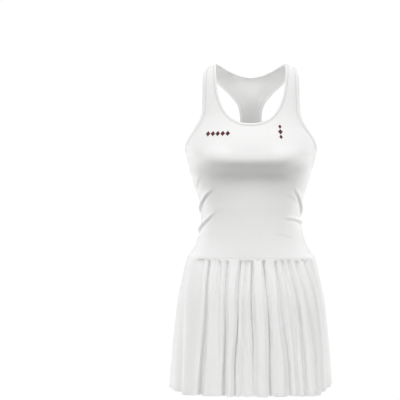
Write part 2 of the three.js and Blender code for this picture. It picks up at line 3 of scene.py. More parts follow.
import bpy
import numpy as np
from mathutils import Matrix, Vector


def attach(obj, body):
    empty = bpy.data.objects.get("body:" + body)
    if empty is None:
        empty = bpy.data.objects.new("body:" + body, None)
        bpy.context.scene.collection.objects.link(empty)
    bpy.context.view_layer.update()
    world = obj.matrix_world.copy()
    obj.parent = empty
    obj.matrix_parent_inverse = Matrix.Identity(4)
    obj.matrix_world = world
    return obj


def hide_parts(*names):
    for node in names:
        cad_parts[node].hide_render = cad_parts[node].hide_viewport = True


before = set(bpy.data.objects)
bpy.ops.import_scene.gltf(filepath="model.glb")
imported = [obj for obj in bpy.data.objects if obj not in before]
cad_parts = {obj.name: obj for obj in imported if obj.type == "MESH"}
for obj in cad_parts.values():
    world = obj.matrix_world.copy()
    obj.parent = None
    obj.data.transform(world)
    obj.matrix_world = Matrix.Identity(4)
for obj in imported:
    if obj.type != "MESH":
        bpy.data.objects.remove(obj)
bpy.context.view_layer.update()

MM = 0.001
QUARTER = math.pi / 2

# Heights, widths of the bindings, thickness of the cloth, and the edges that are rounded
WAIST_SEAM_Z = -492
HEM_Z = -821
UNDERARM_Z = -214
NECK_BINDING = 7.5
ARM_BINDING = 11
BINDING_OVERLAP = 2.5
BODICE_CLOTH = 1.1
SKIRT_CLOTH = 0.9
BINDING_CLOTH = 2.3
SHARP_EDGE = math.radians(50)

# The shoulder: how softly the cloth rolls over it, and how it slopes away from the neck
SHOULDER_ROLL = 25
SLOPE_START, SLOPE_REACH, SLOPE_DROP, SLOPE_POWER, SLOPE_FADE = 80, 34, 13, 1.6, 90

# The form that the cloth takes, section by section
FORM_COLUMNS = ("z", "half_width", "front", "back", "side", "front_square", "back_square")
FORM = [
    (0, 150, 0, 0, 0, 0, 0),
    (-2.5, 150.5, 17.5, 16, 0, 0, 0),
    (-9, 151, 32, 30.5, 0, 0, 0),
    (-20, 152, 44.5, 46, 0, 0, 0),
    (-34, 152.5, 53.5, 59, 0, 0, 0),
    (-50, 153, 61, 68, 0, 0, 0),
    (-75, 153.5, 69.5, 77.5, 0, 0, 0),
    (-105, 154.5, 79, 86, 0, 0, 0),
    (-135, 156.5, 90, 92.5, 0, 0, 0),
    (-165, 160.5, 105, 98.5, 0, 0.005, 0.005),
    (-190, 164, 119, 102.5, 0, 0.015, 0.01),
    (-214, 166, 130, 105, 0, 0.025, 0.015),
    (-228, 165, 134.8, 106, 0, 0.03, 0.015),
    (-240, 162, 138.4, 106, 0, 0.03, 0.015),
    (-250, 159.5, 139.3, 105.5, 0, 0.03, 0.015),
    (-258, 157.5, 136, 105.2, 0, 0.03, 0.015),
    (-268, 155.6, 125.3, 104.2, 0, 0.03, 0.015),
    (-278, 153.2, 113, 102.8, 0, 0.03, 0.015),
    (-288, 150, 105, 101, 0, 0.03, 0.015),
    (-298, 146.7, 100.8, 99.3, 0, 0.025, 0.015),
    (-312, 142.3, 97.5, 97.2, 0, 0.02, 0.015),
    (-330, 135.5, 95, 94.5, 0, 0.02, 0.015),
    (-345, 130.5, 93.9, 92, 0, 0.02, 0.015),
    (-365, 127.5, 93.5, 90, 0, 0.02, 0.015),
    (-385, 125.5, 93, 88.5, 0, 0.02, 0.015),
    (-400, 125.5, 93.5, 89, 0, 0.02, 0.015),
    (-420, 129, 94.5, 93, 0, 0.02, 0.02),
    (-440, 133.5, 96.3, 100, 0.5, 0.02, 0.02),
    (-460, 141, 98.3, 109, 1.5, 0.025, 0.02),
    (-476, 150, 100.4, 116, 2.5, 0.03, 0.025),
    (-492, 162, 102.8, 123, 4, 0.035, 0.03),
    (-504, 166, 107, 129, 5, 0.035, 0.03),
    (-535, 173, 117, 138, 7, 0.04, 0.03),
    (-581, 184, 129, 147, 10, 0.04, 0.03),
    (-642, 193, 139, 156, 13, 0.04, 0.03),
    (-703, 200, 146.5, 163, 16, 0.04, 0.03),
    (-764, 205, 152.5, 168.5, 18, 0.04, 0.03),
    (HEM_Z, 209, 157, 172, 20, 0.04, 0.03),
]

# The finished neck edge: half width, lowest point, and how round it is across and down
NECK_FRONT = (87.5, -158, 2.2, 3.3)
NECK_BACK = (87.5, -29, 1.8, 1.3)
# The finished armhole edge as (degrees around, z), up the front to the shoulder and down the back
ARMHOLE_FRONT = [
    (90, UNDERARM_Z), (85.5, -212.5), (78, -204), (67, -183), (57.8, -159), (52.6, -134), (51.8, -96),
    (52.3, -50), (51.5, -18), (49.5, 0),
]
ARMHOLE_BACK = [
    (130.5, 0), (135, -14), (146, -45), (158, -71), (166.6, -98), (169.6, -136), (166.5, -168),
    (155, -192), (134, -207), (112, -212), (90, UNDERARM_Z),
]

# The soft fullness over each side of the bust
CUP_ACROSS, CUP_Z, CUP_REACH_ACROSS, CUP_REACH_UP, CUP_HEIGHT = 82, -245, 36, 25, 8.5

# The drag folds at the waist, each from the side inwards, steep below its ridge and with a trough under it.
# They flatten where the side seam holds the cloth.
WAIST_RADIUS = 112
SEAM_HOLD = 9
STEEP_SHARE, TROUGH_SHARE, TROUGH_BELOW, TROUGH_WIDTH = 0.4, 0.3, 1.1, 0.6
SWELL_START, SWELL_END, SWELL_PEAK = 0.5, 1.1, 0.37
DRAG_COLUMNS = ("around", "z", "to_around", "to_z", "height", "width", "bend")
DRAG_FOLDS = [
    (-88, -388, -38, -316, 6, 5.6, 7),
    (-92, -430, -41, -374, 7, 5.4, -4),
    (-72, -314, -50, -280, 1.8, 5, 0),
    (88, -394, 46, -314, 6, 5.6, 6),
    (95, -420, 38, -390, 5.6, 5.4, 9),
    (-106, -362, -152, -322, 4, 6.5, 3),
    (-108, -414, -158, -388, 4, 6.5, -3),
    (105, -356, 150, -318, 4, 6.5, 3),
    (107, -404, 156, -372, 4, 6.5, -2),
]
# Finer wrinkles between and beyond them
WRINKLES = [
    (-98, -408, -62, -372, 1.5, 5, 2),
    (-84, -352, -56, -330, 1.2, 5, -1),
    (-97, -455, -55, -425, 1.1, 6, -2),
    (-50, -385, -24, -360, 0.35, 7, 1),
    (98, -444, 52, -418, 0.7, 6, 2),
    (99, -372, 66, -334, 1.4, 5, 2),
    (66, -352, 34, -326, 0.8, 6, 0),
    (52, -440, 20, -424, 0.7, 7, 1),
    (-100, -392, -136, -362, 1.4, 5, 2),
    (-104, -440, -140, -424, 1.2, 6, -2),
    (-128, -342, -162, -318, 0.9, 6, 1),
    (100, -384, 134, -352, 1.4, 5, 2),
    (104, -432, 140, -412, 1.2, 6, -2),
    (130, -336, 165, -314, 0.9, 6, 1),
]

# The creases of the skirt: degrees around at the seam, lower down and at the hem, depth as a gather under
# the seam and as a fold lower down and at the hem, and lean: 1 where the cloth stands up steeply towards
# the next crease, -1 where it does so towards the one before
CREASE_COLUMNS = ("seam", "middle", "hem", "gather", "fold", "deep", "lean")
FRONT_CREASES = [
    (-90, -90, -90, 2, 3, 4, 0),
    (-82, -77, -76, 2, 4, 6, 0),
    (-72, -60, -56.5, 1, 7, 19, 1),
    (-42, -39, -38, 4, 2, 1, 0.5),
    (-35, -31, -33.5, 10, 16, 19, 0.2),
    (-30, -27, -26.5, 3, 2, 1, 0),
    (-25, -21.2, -20.8, 9, 9, 8, 0),
    (-18, -17, -15.5, 11, 15, 18, 0.2),
    (-12.5, -12.6, -12.3, 2, 1, 1, 0),
    (-7.5, -8.8, -9.4, 11, 14, 16, 0),
    (-3.3, -5, -5.4, 9, 13, 15, 0),
    (0.9, 0.8, 2.2, 12, 17, 17, 0.2),
    (5.2, 5.6, 6.8, 2, 1, 2, 0),
    (9.8, 11.2, 11.8, 12, 15.5, 18, 0.2),
    (14.2, 15.8, 17, 3, 2, 5, 0.5),
    (19, 21.6, 24.5, 11, 16, 16, 0.2),
    (25, 29.5, 31, 10, 13, 11, 0.2),
    (31, 35.8, 37, 9, 16, 13, 0.2),
    (39, 47, 47, 7, 11, 5, 0),
    (50, 57, 53.5, 7, 12, 23, -0.8),
    (61, 67, 69, 6, 10, 13, -0.4),
    (76, 80, 81, 3, 7, 8, 0),
    (90, 90, 90, 2, 3, 4, 0),
]
BACK_CREASES = [
    (90, 90, 90, 2, 3, 4, 0),
    (98, 100, 99, 3, 8, 12, 0.6),
    (106, 111, 112, 3, 9, 14, 0.8),
    (115, 119, 118, 5, 3, 2, 0),
    (123, 127, 128, 4, 10, 15, 0.9),
    (130, 132, 134, 5, 2, 6, 0.4),
    (137, 140, 142, 5, 12, 14, 1),
    (144, 146, 147, 6, 1, 3, 0),
    (150, 151, 154, 5, 9, 13, 0.8),
    (157, 158, 159, 5, 11, 8, 0.5),
    (164, 165, 167, 5, 5, 13, 0.8),
    (171, 170, 172, 6, 9, 6, 0.5),
    (177, 178, 179, 5, 12, 15, 0.9),
    (184, 184, 185, 6, 2, 5, 0),
    (190, 191, 190, 5, 11, 14, -0.8),
    (197, 197, 197, 5, 5, 9, -0.5),
    (204, 203, 204, 5, 10, 12, -0.8),
    (211, 210, 209, 6, 2, 1, 0),
    (218, 216, 216, 5, 11, 15, -1),
    (226, 224, 223, 5, 4, 7, -0.4),
    (235, 232, 230, 4, 10, 14, -0.9),
    (245, 243, 242, 3, 7, 11, -0.6),
    (257, 256, 257, 2, 6, 9, -0.4),
    (270, 270, 270, 2, 3, 4, 0),
]
# Where lower down is, as a share of the length, and where a gather starts and how soon it fades
MIDDLE_SHARE = 0.45
GATHER_REACH, GATHER_START = 66, 9
# How wide a crease is, as a share of the way to the next, and how sharply it closes, more so where gathered
OPENING, OPENING_LEAN, OPENING_POWER = 0.78, 0.24, 1.35
GATHERED_POWER, GATHERED_REACH = 1.6, 95
# Creases closer together than this run into each other
CROWDED = 16
# How far a crease strays from its line on its way down, and how often
WANDER, WANDER_WAVES = math.radians(0.7), (0.8, 1.6)
# How far the hem rises above its level, by degrees around
HEM_RISE = [
    (-90, 0), (-54, -3), (-25, 0), (0, 0), (25, 0), (50, -3), (68, 4), (90, 10), (125, 3), (160, 0),
    (270, 0),
]

# The cloth turns in beside its seams: how far, and within what reach
SEAM_TUCK, SEAM_ROLL, SKIRT_RISE = 1.1, 1.6, 1.5
SIDE_TUCK, SHOULDER_TUCK, FLAT_SEAM_ROLL = 0.7, 0.5, 2.5
# The hem is turned up, which leaves a low step, and sewn with two rows of stitches at these heights
HEM_DEPTH, HEM_STEP, HEM_STEP_WIDTH = 9, 0.45, 0.8
HEM_ROWS = (("lower", 6), ("upper", 8.2))
# Puckers beside the seam, in shares of their own room or of the largest depth and reach
PUCKERS_PER_LANE, PUCKER_DEPTH, PUCKER_REACH, PUCKER_START = 2, 4.2, 13, 1.5
PUCKER_PLACES, PUCKER_DEPTHS, PUCKER_REACHES, PUCKER_WIDTH = (0.15, 0.85), (0.2, 1.0), (0.4, 1.5), 0.36
# The slow swells between the creases
SWAY_HEIGHT, SWAY_WAVES, SWAY_CLIMB, SWAY_GROWTH = 1.9, (0.37, 0.61, 0.93), (2, 6), 0.7
FRONT_SEED, BACK_SEED = 11, 23

# How finely the edges and the sheets are drawn, with closer rows beside the seams and the hem
NECK_STEPS, ARMHOLE_STEPS = 1500, 120
PANEL_FRONT = {"side": 104, "arm": 34, "strap": 70, "share": 0.3, "rise": 1, "columns": 80}
PANEL_BACK = {"side": 84, "arm": 100, "strap": 32, "share": 0.78, "rise": 3, "columns": 64}
EVEN_RISE = 0.25
ROWS_ABOVE_SEAM, ROWS_ABOVE_SEAM_END = (0, 0.5, 1.2, 2, 3, 4.2, 6), 8
ROWS_BELOW_SEAM, ROWS_BELOW_SEAM_END = (-SKIRT_RISE, -0.8, 0, 0.8, 1.6, 2.6, 3.8, 5.2, 7, 9, 11.5), 14
ROWS_ABOVE_HEM = (HEM_DEPTH + HEM_STEP_WIDTH, HEM_DEPTH + 0.4, HEM_DEPTH, HEM_DEPTH - 0.6, 6, 3.5, 1.5, 0)
ROWS_ABOVE_HEM_END = HEM_DEPTH + 3
LANE_STEPS, LANE_EASE = 13, 0.07
SKIRT_STEPS = 120

# Bindings: how finely they are drawn across and along, how far they bulge, and how round their edges are
BINDING_STEPS, NECK_BINDING_STEPS, ARM_BINDING_STEPS = 14, 240, 280
BINDING_BULGE, BINDING_ROUNDING = 0.35, 0.8
# Where the stitches of a binding lie, and how they draw it in
STITCH_INSET, STITCH_PULL, STITCH_REACH = 1.6, 0.5, 0.8

# Stitches: their size, how far they stand off the cloth, and how finely their rows are traced
STITCH_LENGTH, STITCH_GAP, STITCH_THICK, STITCH_FLATNESS = 2.3, 0.9, 0.42, 1.2
STITCH_SIDES, STITCH_BEVEL = 6, 0.3
BINDING_STITCH_LIFT, HEM_STITCH_LIFT = 0.35, 0.05
BINDING_ROW_STEPS, HEM_ROW_STEPS, HEM_ROW_END = 1200, 40, 0.02

# Colours, and how dark the painted shade in the gaps between loops, in the furrows and in the gaps between
# strands becomes
WHITE = (0.91, 0.91, 0.905)
THREAD_WHITE = (0.88, 0.88, 0.875)
MAROON = (0.12, 0.022, 0.03)
GAP_SHADE, DARKEST, SHADE_REACH = 0.12, 0.7, 0.6
# The shine of cloth and thread
CLOTH_SPECULAR, SHEEN_ROUGHNESS, JERSEY_SHEEN, THREAD_SHEEN, THREAD_ROUGHNESS = 0.25, 0.35, 0.6, 0.3, 0.5
# The knit: the height of a row as a share of a column's width, its relief, and how uneven its loops are
ROW_SHARE, LOOP_RELIEF, LOOP_STRENGTH = 0.8, 0.2, 0.5
UNEVEN_SCALE, UNEVEN_SHARE, UNEVEN_DETAIL = 55, 0.8, 3
COLUMN_WOBBLE, ROW_WOBBLE, WOBBLE_SCALE = 0.6, 0.4, 0.2
# A wave texture of scale 1 repeats at this distance
UNIT_WAVE = math.pi / 10
# The strands of a thread: their pitch in sewing and in satin stitches, and their relief
SEWING_STRAND, SATIN_STRAND = 0.5, 0.45
STRAND_WOBBLE, STRAND_STRENGTH, STRAND_RELIEF = 0.5, 0.6, 0.15

# Embroidered lozenges on the chest: where each stands, as its distance to the wearer's left and its height,
# and its half width and half height
LOZENGE_COLUMNS = ("x", "z", "half_width", "half_height")
LOZENGE_ROW = [(x, -183, 5.4, 6.8) for x in (-102, -90, -78, -66, -54)]
LOZENGE_STACK = [(70, -166, 4, 5.5), (70, -179, 5.4, 6.8), (70, -192, 4, 5.5)]
LOZENGE_STEPS, EMBROIDERY_THICK, EMBROIDERY_ROUNDING = 12, 0.7, 0.2


def down_of(z):
    """Distance down from the top of the shoulder, for a height."""
    return np.sqrt((SHOULDER_ROLL - np.asarray(z, float)) ** 2 - SHOULDER_ROLL**2)


def height_of(down):
    return SHOULDER_ROLL - np.sqrt(np.asarray(down) ** 2 + SHOULDER_ROLL**2)


def smooth_curve(places, values):
    """A smooth curve through values at given places, as a function of arrays."""
    places, values = np.asarray(places, float), np.asarray(values, float)
    gaps = np.diff(places)
    incline = np.diff(values) / gaps
    inner = (incline[:-1] * gaps[1:] + incline[1:] * gaps[:-1]) / (gaps[:-1] + gaps[1:])
    slopes = np.concatenate([incline[:1], inner, incline[-1:]])

    def curve(place):
        place = np.asarray(place, float)
        i = np.clip(np.searchsorted(places, place) - 1, 0, len(places) - 2)
        t = (place - places[i]) / gaps[i]
        rise = (values[i + 1] - values[i]) * t * t * (3 - 2 * t)
        bend = t * (1 - t) ** 2 * slopes[i] - t * t * (1 - t) * slopes[i + 1]
        return values[i] + rise + bend * gaps[i]

    return curve


FORM_CURVES = {
    name: smooth_curve(down_of([row[0] for row in FORM]), [row[i] for row in FORM])
    for i, name in enumerate(FORM_COLUMNS)
    if name != "z"
}


def form_point(around, down):
    """Points of the plain form."""
    around, down = np.broadcast_arrays(around, down)
    curve = {name: of(down) for name, of in FORM_CURVES.items()}
    in_front = np.cos(around) > 0
    depth = np.where(in_front, curve["front"] + curve["side"], curve["back"] - curve["side"])
    square = np.where(in_front, curve["front_square"], curve["back_square"])
    x = curve["half_width"] * (np.sin(around) + square * np.sin(3 * around)) / (1 - square)
    y = curve["side"] - depth * (np.cos(around) - square * np.cos(3 * around)) / (1 - square)
    beyond = np.maximum(0, (np.abs(x) - SLOPE_START) / SLOPE_REACH)
    faded = np.clip(down / SLOPE_FADE, 0, 1)
    fade = 1 - faded * faded * (3 - 2 * faded)
    z = height_of(down) - SLOPE_DROP * beyond**SLOPE_POWER * fade
    return np.stack([x, y, z], -1)


def unit(vectors):
    return vectors / np.linalg.norm(vectors, axis=-1, keepdims=True)


def outward(surface, around, down, turn=0.002, step=0.2):
    """Outward normals of a surface(around, down)."""
    along = surface(around + turn, down) - surface(around - turn, down)
    lower = surface(around, down + step) - surface(around, np.maximum(0, down - step))
    return unit(np.cross(lower, along))


def drag_fold(fold, around, z):
    """How far one drag fold stands out."""
    fold = dict(zip(DRAG_COLUMNS, fold))
    start = np.array([math.radians(fold["around"]) * WAIST_RADIUS, fold["z"]])
    along = np.array([math.radians(fold["to_around"]) * WAIST_RADIUS, fold["to_z"]]) - start
    length = np.hypot(*along)
    x, y = around * WAIST_RADIUS - start[0], z - start[1]
    share = np.clip((x * along[0] + y * along[1]) / length**2, 0, 1)
    swell = share**SWELL_START * (1 - share) ** SWELL_END / SWELL_PEAK
    above = np.sign(along[0]) * (along[0] * y - along[1] * x) / length - fold["bend"] * swell
    above = above / fold["width"]
    ridge = np.exp(-((above / np.where(above > 0, 1, STEEP_SHARE)) ** 2))
    trough = np.exp(-(((above + TROUGH_BELOW) / TROUGH_WIDTH) ** 2))
    return fold["height"] * swell * (ridge - TROUGH_SHARE * trough)


def bodice_relief(around, point):
    x, z = point[..., 0], point[..., 2]
    to_seam = (np.abs(around) - QUARTER) * WAIST_RADIUS
    loose = 1 - np.exp(-((to_seam / SEAM_HOLD) ** 2))
    folds = loose * sum(drag_fold(fold, around, z) for fold in DRAG_FOLDS + WRINKLES)
    sideways = (np.abs(x) - CUP_ACROSS) / CUP_REACH_ACROSS
    upward = (z - CUP_Z) / CUP_REACH_UP
    cup = np.where(np.cos(around) > 0, CUP_HEIGHT * np.exp(-(sideways**2) - upward**2), 0)
    return folds + cup


def bodice_point(around, down):
    """Points of the bodice as the cloth lies."""
    around, down = np.broadcast_arrays(around, down)
    point = form_point(around, down)
    out = bodice_relief(around, point)
    return point + outward(form_point, around, down) * out[..., None]


# Edges, as columns t, around and down: t is 0 to 1 up the front to the shoulder and 1 to 2 down the back
def even_table(around, down):
    """The places of an edge and the share of its length at which each lies."""
    lengths = np.linalg.norm(np.diff(form_point(around, down), axis=0), axis=1)
    share = np.concatenate([[0], np.cumsum(lengths)])
    return share / share[-1], around, down


def neck_table(half_width, lowest_z, across_power, down_power):
    angle = np.linspace(0, QUARTER, NECK_STEPS)
    x = half_width * np.sin(angle) ** (2 / across_power)
    down = down_of(lowest_z) * np.maximum(0, np.cos(angle)) ** (2 / down_power)
    down[-1] = 0
    return even_table(np.arcsin(x / FORM_CURVES["half_width"](down)), down)


def armhole_table(rows):
    """A centripetal curve through the rows' places."""
    points = np.array([(around, float(down_of(z))) for around, z in rows])
    before, after = 2 * points[0] - points[1], 2 * points[-1] - points[-2]
    points = np.vstack([before, points, after])
    found = []
    for i in range(1, len(points) - 2):
        p0, p1, p2, p3 = points[i - 1 : i + 3]
        d0, d1, d2 = (np.linalg.norm(b - a) ** 0.5 for a, b in ((p0, p1), (p1, p2), (p2, p3)))
        slope1 = ((p1 - p0) / d0 - (p2 - p0) / (d0 + d1) + (p2 - p1) / d1) * d1
        slope2 = ((p2 - p1) / d1 - (p3 - p1) / (d1 + d2) + (p3 - p2) / d2) * d1
        t = np.linspace(0, 1, ARMHOLE_STEPS, endpoint=i == len(points) - 3)[:, None]
        cubic = (2 * p1 - 2 * p2 + slope1 + slope2) * t**3
        square = (-3 * p1 + 3 * p2 - 2 * slope1 - slope2) * t**2
        found.append(p1 + slope1 * t + square + cubic)
    found = np.vstack(found)
    return even_table(np.radians(found[:, 0]), np.maximum(0, found[:, 1]))


def neck_edge():
    front, back = neck_table(*NECK_FRONT), neck_table(*NECK_BACK)
    behind = (1 - back[0][::-1], math.pi - back[1][::-1], back[2][::-1])
    return {"inward": 1, "closed": False, "front": front, "back": behind}


def armhole_edge():
    return {"inward": -1, "closed": True, "front": armhole_table(ARMHOLE_FRONT),
            "back": armhole_table(ARMHOLE_BACK)}


def edge_at(edge, t):
    """Around and down along an edge."""
    t = np.asarray(t, float)
    t = t % 2 if edge["closed"] else np.clip(t, 0, 2)
    in_front = t <= 1
    places = []
    for column in (1, 2):
        front = np.interp(t, edge["front"][0], edge["front"][column])
        back = np.interp(t - 1, edge["back"][0], edge["back"][column])
        places.append(np.where(in_front, front, back))
    return places


def inset(edge, t, distance):
    """Places at a distance inside the cloth from an edge."""
    t = np.asarray(t, float)
    small, turn_step, down_step = 0.004, 0.002, 0.5
    around, down = edge_at(edge, t)
    along = form_point(*edge_at(edge, t + small)) - form_point(*edge_at(edge, t - small))
    inward = unit(np.cross(along, outward(form_point, around, down))) * edge["inward"]
    inward = inward * np.asarray(distance, float)[..., None]
    base = form_point(around, down)
    per_turn = (form_point(around + turn_step, down) - base) / turn_step
    per_down = (form_point(around, down + down_step) - base) / down_step
    turn_turn, turn_down, down_down = (
        (a * b).sum(-1) for a, b in ((per_turn, per_turn), (per_turn, per_down), (per_down, per_down))
    )
    spread = turn_turn * down_down - turn_down**2
    turned, lowered = (per_turn * inward).sum(-1), (per_down * inward).sum(-1)
    new_around = around + (down_down * turned - turn_down * lowered) / spread
    new_down = np.maximum(0, down + (turn_turn * lowered - turn_down * turned) / spread)
    if edge["closed"]:
        new_around = np.where(np.isclose(t % 2, 0), QUARTER, new_around)
    return new_around, np.where(np.isclose(t, 1), 0, new_down)


NECK = neck_edge()
ARMHOLE = armhole_edge()


# Sheets of cloth
def select_only(piece):
    bpy.ops.object.select_all(action="DESELECT")
    piece.select_set(True)
    bpy.context.view_layer.objects.active = piece


def arc_lengths(points, axis):
    """Distance along a grid of points, from its first row or column."""
    steps = np.linalg.norm(np.diff(points, axis=axis), axis=-1)
    total = np.cumsum(steps, axis=axis)
    return np.concatenate([np.zeros_like(np.take(total, [0], axis)), total], axis)


def cloth_grid(name, points, uv):
    """A grid primitive with its corners at points[row, column], rows upwards and columns anticlockwise."""
    rows, columns = points.shape[:2]
    bpy.ops.mesh.primitive_grid_add(x_subdivisions=columns - 1, y_subdivisions=rows - 1, size=1)
    sheet = bpy.context.object
    sheet.name = name
    sheet.data.vertices.foreach_set("co", (points * MM).reshape(-1))
    corners = np.zeros(len(sheet.data.loops), int)
    sheet.data.loops.foreach_get("vertex_index", corners)
    layer = sheet.data.uv_layers.active
    layer.name = "Cloth"
    layer.data.foreach_set("uv", (uv.reshape(-1, 2)[corners] * MM).reshape(-1))
    sheet.data.update()
    return sheet


def join_sheets(name, sheets):
    """Sheets that meet, sewn into one along the corners that they share."""
    select_only(sheets[0])
    for sheet in sheets[1:]:
        sheet.select_set(True)
    if len(sheets) > 1:
        bpy.ops.object.join()
    bpy.ops.object.mode_set(mode="EDIT")
    bpy.ops.mesh.select_all(action="SELECT")
    bpy.ops.mesh.remove_doubles(threshold=1e-6)
    bpy.ops.object.mode_set(mode="OBJECT")
    sheets[0].name = name
    return sheets[0]


def thicken(sheet, thickness, rounding=0.0, fullness=""):
    """Gives a sheet its thickness, less where its fullness group is less than 1, and rounds its edges."""
    select_only(sheet)
    bpy.ops.object.modifier_add(type="SOLIDIFY")
    wall = sheet.modifiers[-1]
    wall.thickness = thickness * MM
    wall.offset = 0
    wall.vertex_group = fullness
    bpy.ops.object.modifier_apply(modifier=wall.name)
    if rounding:
        bpy.ops.object.modifier_add(type="BEVEL")
        bevel = sheet.modifiers[-1]
        bevel.width = rounding * MM
        bevel.segments = 3
        bevel.limit_method = "ANGLE"
        bevel.angle_limit = SHARP_EDGE
        bpy.ops.object.modifier_apply(modifier=bevel.name)
    bpy.ops.object.shade_smooth()
    return sheet


def finish_piece(piece, material, slot, *nodes):
    piece.data.materials.clear()
    piece.data.materials.append(material)
    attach(piece, "root")
    if nodes:
        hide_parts(*nodes)
    return piece


# Bodice
def panel_ends(panel, behind):
    """Around and down at the centre end of each row of a panel's half, and at its side end."""

    def share_t(share):
        return 2 - share if behind else share

    centre = math.pi if behind else 0.0
    arm_inset, neck_inset = ARM_BINDING - BINDING_OVERLAP, NECK_BINDING - BINDING_OVERLAP
    underarm = float(inset(ARMHOLE, np.array([0.0]), arm_inset)[1][0])
    neck_bottom = float(inset(NECK, np.array([share_t(0.0)]), neck_inset)[1][0])
    seam = float(down_of(WAIST_SEAM_Z))
    even_rows = np.linspace(seam - ROWS_ABOVE_SEAM_END, underarm, panel["side"])
    side_down = np.concatenate([seam - np.array(ROWS_ABOVE_SEAM), even_rows])
    rows = [(np.full_like(side_down, centre), side_down, np.full_like(side_down, QUARTER), side_down)]
    share = np.arange(1, panel["arm"] + 1) / panel["arm"]
    risen = EVEN_RISE * share + (1 - EVEN_RISE) * share ** panel["rise"]
    down = underarm + (neck_bottom - underarm) * risen
    arm = inset(ARMHOLE, share_t(share * panel["share"]), arm_inset)
    rows.append((np.full_like(down, centre), down, *arm))
    share = np.arange(1, panel["strap"] + 1) / panel["strap"]
    neck = inset(NECK, share_t(share), neck_inset)
    arm = inset(ARMHOLE, share_t(panel["share"] + (1 - panel["share"]) * share), arm_inset)
    rows.append((*neck, *arm))
    return [np.concatenate(part) for part in zip(*rows)]


def panel_half(panel, behind):
    """Places of one half of a panel, as around[row, column] and down[row, column]."""
    from_around, from_down, to_around, to_down = panel_ends(panel, behind)
    if behind:
        from_around = np.maximum(from_around, math.pi - from_around)
        to_around = np.maximum(to_around, math.pi - to_around)
    across = np.linspace(0, 1, panel["columns"] + 1)[None, :]
    around = from_around[:, None] * (1 - across) + to_around[:, None] * across
    down = from_down[:, None] * (1 - across) + to_down[:, None] * across
    return around, down


def seam_roll(around, down):
    """How far the bodice turns inwards beside its seams."""
    to_waist = down_of(WAIST_SEAM_Z) - down
    waist = SEAM_TUCK * np.exp(-((to_waist / SEAM_ROLL) ** 2))
    to_side = np.abs(np.abs(around) - QUARTER) * WAIST_RADIUS
    side = SIDE_TUCK * np.exp(-((to_side / FLAT_SEAM_ROLL) ** 2))
    shoulder = SHOULDER_TUCK * np.exp(-((down / FLAT_SEAM_ROLL) ** 2))
    return waist + side + shoulder


def bodice_panel(name, panel, behind):
    around, down = panel_half(panel, behind)
    height = arc_lengths(form_point(around[:, :1], down[:, :1]), 0)
    sheets = []
    for side in (1, -1):
        turned = side * around
        point = bodice_point(turned, down)
        normal = outward(bodice_point, turned, down)
        point = point - normal * seam_roll(turned, down)[..., None]
        width = side * arc_lengths(point, 1) * (-1 if behind else 1)
        uv = np.stack([width, np.broadcast_to(height, width.shape)], -1)
        if turned[0, 0] > turned[0, -1]:
            point, uv = point[:, ::-1], uv[:, ::-1]
        sheets.append(cloth_grid(name, point, uv))
    return thicken(join_sheets(name, sheets), BODICE_CLOTH)


# Bindings
def binding_strip(name, edge, width, t, sides):
    """A binding of doubled cloth, through steps t on each of its sides, drawn in along its stitches."""
    across = np.linspace(0, 1, BINDING_STEPS + 1)
    bulge = BINDING_BULGE * (1 - (2 * across - 1) ** 2)
    rows = []
    for side, steps in zip(sides, t):
        places = [inset(edge, steps, width * share) for share in across]
        around = side * np.stack([p[0] for p in places], 1)
        down = np.stack([p[1] for p in places], 1)
        raised = outward(bodice_point, around, down) * bulge[None, :, None]
        rows.append(bodice_point(around, down) + raised)
    point = np.concatenate(rows)
    uv = np.stack([width * (1 - across) + 0 * point[..., 0], arc_lengths(point, 0)], -1)
    sheet = cloth_grid(name, point, uv)
    group = sheet.vertex_groups.new(name="fullness")
    to_stitches = (across - 1) * width + STITCH_INSET
    drawn_in = 1 - STITCH_PULL * np.exp(-((to_stitches / STITCH_REACH) ** 2))
    for column, fullness in enumerate(drawn_in):
        group.add(list(range(column, len(point) * len(across), len(across))), float(fullness), "REPLACE")
    return thicken(join_sheets(name, [sheet]), BINDING_CLOTH, BINDING_ROUNDING, "fullness")


def neck_binding():
    t = np.linspace(0, 2, NECK_BINDING_STEPS + 1)
    return binding_strip("neck_binding", NECK, NECK_BINDING, [t, t[::-1]], (1, -1))


def armhole_binding(name, side):
    t = np.linspace(0, 2, ARM_BINDING_STEPS + 1)
    return binding_strip(name, ARMHOLE, ARM_BINDING, [t if side < 0 else t[::-1]], (side,))


# Skirt
def crease_lines(creases, share, seed):
    """For each crease, its place around and its depth at each share of the skirt's length."""
    rng = np.random.default_rng(seed)
    below = share * (WAIST_SEAM_Z - HEM_Z)
    around, depth = [], []
    for crease in creases:
        row = dict(zip(CREASE_COLUMNS, crease))
        places = np.radians([row["seam"], row["middle"], row["hem"]])
        waves, phase = rng.uniform(*WANDER_WAVES), rng.uniform(0, 2 * math.pi)
        wander = WANDER * np.sin(2 * math.pi * waves * share + phase) * np.sin(math.pi * share)
        loose = crease not in (creases[0], creases[-1])
        around.append(smooth_curve([0, MIDDLE_SHARE, 1], places)(share) + wander * loose)
        fold = smooth_curve([0, MIDDLE_SHARE, 1], [0, row["fold"], row["deep"]])(share)
        fullness = np.exp(-((below / GATHER_REACH) ** 2)) - np.exp(-((below / GATHER_START) ** 2))
        depth.append(row["gather"] * fullness + fold)
    return np.array(around), np.array(depth)


def crease_opening(distance, reach, share):
    """How much of a crease's depth is left at a distance from it, in shares of the way to the next.
    The creases are narrowest where the cloth is gathered."""
    gathered = np.exp(-((share * (WAIST_SEAM_Z - HEM_Z) / GATHERED_REACH) ** 2))
    power = OPENING_POWER + GATHERED_POWER * gathered[:, None]
    return (0.5 + 0.5 * np.cos(math.pi * np.minimum(1, distance / reach))) ** power


